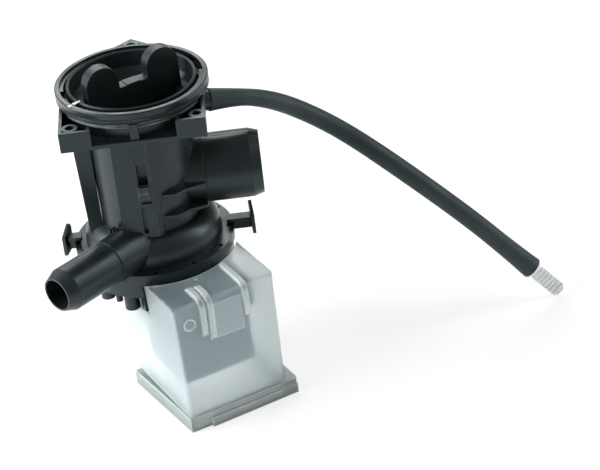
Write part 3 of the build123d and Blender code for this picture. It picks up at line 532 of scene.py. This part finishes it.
def seamTree(name, material):  # the fine raised line that a mould leaves along a tube, on both its sides
    tree, size = newGrowth(name, {"From": "Vector", "To": "Vector", "Across": "Vector", "Thickness": "Float"})
    path = addNode(tree, "GeometryNodeCurvePrimitiveLine", {}, {
        "Start": size.out("From"), "End": size.out("To"),
    })
    section = roundSection(tree, 8, size.out("Thickness"))
    line = addNode(tree, "GeometryNodeCurveToMesh", {}, {
        "Curve": path, "Profile Curve": section, "Fill Caps": True,
    })
    sides = addNode(tree, "GeometryNodeMeshLine", {}, {
        "Count": 2, "Start Location": (0.0, 0.0, 0.0), "Offset": size.out("Across"),
    })
    laid = addNode(tree, "GeometryNodeInstanceOnPoints", {}, {"Points": sides, "Instance": line})
    finishGrowth(tree, laid, material)
    return tree


def motorPlace(u, v, height):  # from the motor's own axes, which are turned against the inlet
    x = u * cos(motorTurn) - v * sin(motorTurn)
    y = u * sin(motorTurn) + v * cos(motorTurn)
    return millimetres(x, y, height)


# Ribs below the motor flange, and the ejector marks below the tray
flangeRibs = {
    "Count": 24, "Radius": 0.0375, "Start": motorTurn + 0.13, "Centre": millimetres(0, 0, 79.9),
    "Size": (0.0110, 0.0011, 0.0030),
}
ejectorMarks = {
    "Count": 9, "Radius": 0.0365, "Start": 0.2, "Centre": millimetres(0, 0, 177.15),
    "Size": (0.0036, 0.0036, 0.0003),
}
ribTree = ringTree("flange ribs", "block", materials["black_plastic"])
markTree = ringTree("ejector marks", "disc", materials["black_plastic"])
growPiece("flangeRibs", ribTree, flangeRibs, "pump")
growPiece("ejectorMarks", markTree, ejectorMarks, "pump")

# Short ribs in the corner between the outlet and the tube, and the ledges at the foot of the front panel
rootRibs = {
    "Count": 3, "First": millimetres(-22.6, -26.2, 112.3), "Step": (0.0021, -0.0020, 0.0004),
    "Turn": radians(43.8), "Size": (0.0050, 0.0008, 0.0024),
}
panelLedges = {
    "Count": 2, "First": millimetres(-10.0, -33.4, 110.0), "Step": (0.0036, -0.0012, -0.0023), "Turn": 0.0,
    "Size": (0.0112, 0.0036, 0.0022),
}
shortRibTree = rowTree("corner ribs", "block", materials["black_plastic"])
growPiece("rootRibs", shortRibTree, rootRibs, "pump")
growPiece("panelLedges", shortRibTree, panelLedges, "pump")

# Turns of enamelled wire on both bobbins: sizes in metres, places in mm along the motor's own axes
winding = {
    "turns": 29, "width": 0.0194, "height": 0.0272, "corner": 0.0020, "wire": 0.00033, "firstV": -31.6,
    "stepV": -0.67, "aside": 10.5, "middle": 58.0,
}
wireTree = turnsTree("wire turns", materials["copper"])
for sideName, aside in (("Left", -winding["aside"]), ("Right", winding["aside"])):
    firstPlace = motorPlace(aside, winding["firstV"], winding["middle"])
    nextPlace = motorPlace(aside, winding["firstV"] + winding["stepV"], winding["middle"])
    growPiece("wireTurns" + sideName, wireTree, {
        "Turns": winding["turns"], "Width": winding["width"], "Height": winding["height"],
        "Corner": winding["corner"], "Wire": winding["wire"], "First": firstPlace,
        "Step": nextPlace - firstPlace, "Facing": (pi / 2, 0.0, motorTurn),
    }, "pump")

# Punched marks that lock the sheets of the core together
stakes = {
    "Count": 3, "First": motorPlace(-10.5, -60.0, 68.05), "Turn": motorTurn,
    "Step": motorPlace(0.0, -60.0, 68.05) - motorPlace(-10.5, -60.0, 68.05), "Size": (0.0024, 0.0024, 0.0003),
}
stakeTree = rowTree("core stakes", "disc", materials["laminations"])
growPiece("coreStakes", stakeTree, stakes, "pump")

# Mould lines of the inlet and the outlet
seams = seamTree("mould lines", materials["black_plastic"])
inletSeams = {
    "From": millimetres(37.0, 0.0, 152.6), "To": millimetres(62.6, 0.0, 152.6),
    "Across": (0.0, 0.0, -0.0410), "Thickness": 0.00016,
}
outletSeams = {
    "From": millimetres(-27.9, -44.6, 113.75), "To": millimetres(-50.5, -66.3, 113.75),
    "Across": (0.0, 0.0, -0.0265), "Thickness": 0.00015,
}
growPiece("inletSeams", seams, inletSeams, "pump")
growPiece("outletSeams", seams, outletSeams, "pump")

# Gate mark on the roof of the cover
gateMark = {
    "Count": 1, "First": motorPlace(-0.6, -53.5, 85.1), "Step": (0.0, 0.0, 0.0), "Turn": 0.0,
    "Size": (0.0018, 0.0018, 0.0007),
}
gateTree = rowTree("gate mark", "disc", materials["cover_plastic"])
growPiece("gateMark", gateTree, gateMark, "pump")
print("grown details made")


# White ticks on the collar and the cap, in line at rest, as a painted highlight of light on a stop lug:
# thickness in metres, the other sizes in mm
tickHighlight = {
    "angle": radians(217.0), "height": 196.62, "width": 1.2, "thickness": 0.0003,
    "collarReach": (42.1, 44.6), "capReach": (36.3, 41.4), "capLift": 0.25,
}
# Flat rim of the stopper, square to the hose's end: its centre in mm, its radius and thickness in metres
stopperRim = {
    "centre": (228.95, 17.91, 22.6), "along": (0.654988, 0.020415, -0.755363), "radius": 0.0070,
    "thickness": 0.0012, "sides": 48,
}


def keepPiece(mesh, body, slot):
    mesh.materials.append(materials[slot])
    piece = bpy.data.objects.new(mesh.name, mesh)
    bpy.context.scene.collection.objects.link(piece)
    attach(piece, body)


def makeTickHighlight(name, body, reaches, lift):
    inner, outer = reaches
    along = Vector((cos(tickHighlight["angle"]), sin(tickHighlight["angle"]), 0))
    across = Vector((-along.y, along.x, 0)) * tickHighlight["width"] / 1000
    centre = millimetres(0, 0, tickHighlight["height"] + lift)
    top = [
        centre + along * outer / 1000 - across, centre + along * outer / 1000 + across,
        centre + along * inner / 1000 + across * 0.5, centre + along * inner / 1000 - across * 0.5,
    ]
    bottom = [corner - Vector((0, 0, tickHighlight["thickness"])) for corner in top]
    sides = [(1, 5, 6, 2), (3, 7, 4, 0), (2, 6, 7, 3), (0, 4, 5, 1)]
    mesh = bpy.data.meshes.new(name)
    mesh.from_pydata(top + bottom, [], [(0, 1, 2, 3), (4, 7, 6, 5), *sides])
    keepPiece(mesh, body, "white_plastic")


def makeStopperRim():
    shape = bmesh.new()
    turn = Vector(stopperRim["along"]).to_track_quat("Z", "Y").to_matrix().to_4x4()
    place = Matrix.Translation(millimetres(*stopperRim["centre"])) @ turn
    radius = stopperRim["radius"]
    bmesh.ops.create_cone(
        shape, cap_ends=True, segments=stopperRim["sides"], radius1=radius, radius2=radius,
        depth=stopperRim["thickness"], matrix=place,
    )
    mesh = bpy.data.meshes.new("stopperRim")
    shape.to_mesh(mesh)
    shape.free()
    keepPiece(mesh, "stopper", "clear_plastic")


makeStopperRim()
# Painted highlight: two white pieces where a stop lug catches light
makeTickHighlight("collarTickHighlight", "pump", tickHighlight["collarReach"], 0.0)
makeTickHighlight("capTickHighlight", "filter", tickHighlight["capReach"], tickHighlight["capLift"])
print("rim and ticks made")

# Floor, light and camera
studio = {"floorSize": 6.0, "floorColour": (0.90, 0.90, 0.90), "floorGlow": 0.62, "worldLight": 0.34}
white = (1.0, 1.0, 1.0)
softboxes = {  # place and aim in metres from the foot of the collar, size in metres, power in watts
    "leftBox": {"place": (-0.95, -0.15, 0.42), "aim": (0, 0, -0.08), "size": (0.9, 0.6), "power": 21.0},
    "rightBox": {"place": (0.95, 0.05, 0.40), "aim": (0, 0, -0.08), "size": (0.4, 0.8), "power": 5.0},
    "backBox": {"place": (-0.1, 0.95, 0.60), "aim": (0, 0, -0.05), "size": (1.2, 0.5), "power": 9.0},
}
view = {  # the photograph's view: lens, sensor and place in mm, and the camera's own axes
    "lens": 132.0, "sensor": 36.0, "place": (72.1, -1142.1, 764.6), "right": (0.9927, -0.0715, -0.0976),
    "back": (-0.0110, -0.8569, 0.5154),
}


def makeFloor():
    mesh = bpy.data.meshes.new("floor")
    half = studio["floorSize"] / 2
    corners = [(x, y, -floorDrop) for x, y in ((-half, -half), (half, -half), (half, half), (-half, half))]
    mesh.from_pydata(corners, [], [(0, 1, 2, 3)])
    floor = bpy.data.objects.new("floor", mesh)
    bpy.context.scene.collection.objects.link(floor)
    material, tree = newMaterial("pale floor")
    matt = addNode(tree, "ShaderNodeBsdfDiffuse", {}, {"Color": studio["floorColour"]})
    glow = addNode(tree, "ShaderNodeEmission", {}, {"Color": white, "Strength": 1.0})
    seen = addNode(tree, "ShaderNodeLightPath").out("Is Camera Ray")
    mixed = addNode(tree, "ShaderNodeMixShader", {}, {0: seen * studio["floorGlow"], 1: matt, 2: glow})
    finishMaterial(tree, mixed)
    mesh.materials.append(material)


def makeWorld():
    world = bpy.data.worlds.new("studio")
    bpy.context.scene.world = world
    world.use_nodes = True
    tree = world.node_tree
    tree.nodes.clear()
    path = addNode(tree, "ShaderNodeLightPath")
    seen = addNode(tree, "ShaderNodeMath", {"operation": "MAXIMUM"}, {
        0: path.out("Is Camera Ray"), 1: path.out("Is Transmission Ray"),
    })
    strength = seen * (1.0 - studio["worldLight"]) + studio["worldLight"]
    back = addNode(tree, "ShaderNodeBackground", {}, {"Color": white, "Strength": strength})
    addNode(tree, "ShaderNodeOutputWorld", {}, {"Surface": back})


def makeSoftbox(name, box):
    lamp = bpy.data.lights.new(name, "AREA")
    lamp.shape = "RECTANGLE"
    lamp.size, lamp.size_y = box["size"]
    lamp.energy = box["power"]
    holder = bpy.data.objects.new(name, lamp)
    holder.location = box["place"]
    holder.rotation_euler = (Vector(box["aim"]) - Vector(box["place"])).to_track_quat("-Z", "Y").to_euler()
    bpy.context.scene.collection.objects.link(holder)


def makeCamera():
    lens = bpy.data.cameras.new("camera")
    lens.sensor_width = view["sensor"]
    lens.sensor_fit = "HORIZONTAL"
    lens.lens = view["lens"]
    camera = bpy.data.objects.new("camera", lens)
    right = Vector(view["right"]).normalized()
    back = Vector(view["back"]).normalized()
    up = back.cross(right).normalized()
    turn = Matrix((right, up, back)).transposed().to_4x4()
    camera.matrix_world = Matrix.Translation(millimetres(*view["place"])) @ turn
    bpy.context.scene.collection.objects.link(camera)
    bpy.context.scene.camera = camera


makeFloor()
makeWorld()
for boxName, box in softboxes.items():
    makeSoftbox(boxName, box)
makeCamera()
bpy.context.scene.view_settings.view_transform = "Standard"
print("stage set")
